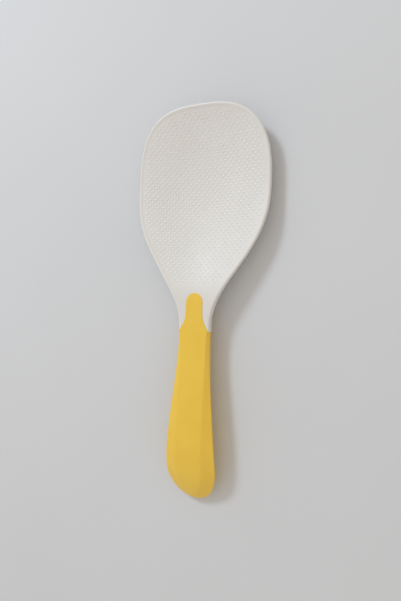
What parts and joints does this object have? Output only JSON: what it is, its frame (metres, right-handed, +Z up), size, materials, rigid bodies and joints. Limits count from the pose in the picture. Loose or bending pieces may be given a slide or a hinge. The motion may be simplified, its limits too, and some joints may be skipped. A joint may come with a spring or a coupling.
{
  "type": "rice paddle",
  "caption": "Spoon-shaped rice paddle: a dished oval blade with a dotted face and rounded rim, on a soft moulded grip with a tongue over the neck.",
  "frame": {"origin": "centre of the footprint, on the table plane that the belly of the head and the back of the grip rest on", "axes": "+Y along the paddle towards the tip of the head, +Z up out of the hollow dotted face, X across it; X = 0 is the plane of symmetry"},
  "size_m": [0.0734, 0.204, 0.0144],
  "materials": {
    "white_polypropylene": "injection moulded, fine satin, milky white",
    "yellow_elastomer": "soft-touch thermoplastic elastomer, matte, warm yellow"
  },
  "bodies": {
    "root": {"blade": "white_polypropylene", "grip": "yellow_elastomer"}
  },
  "joints": []
}
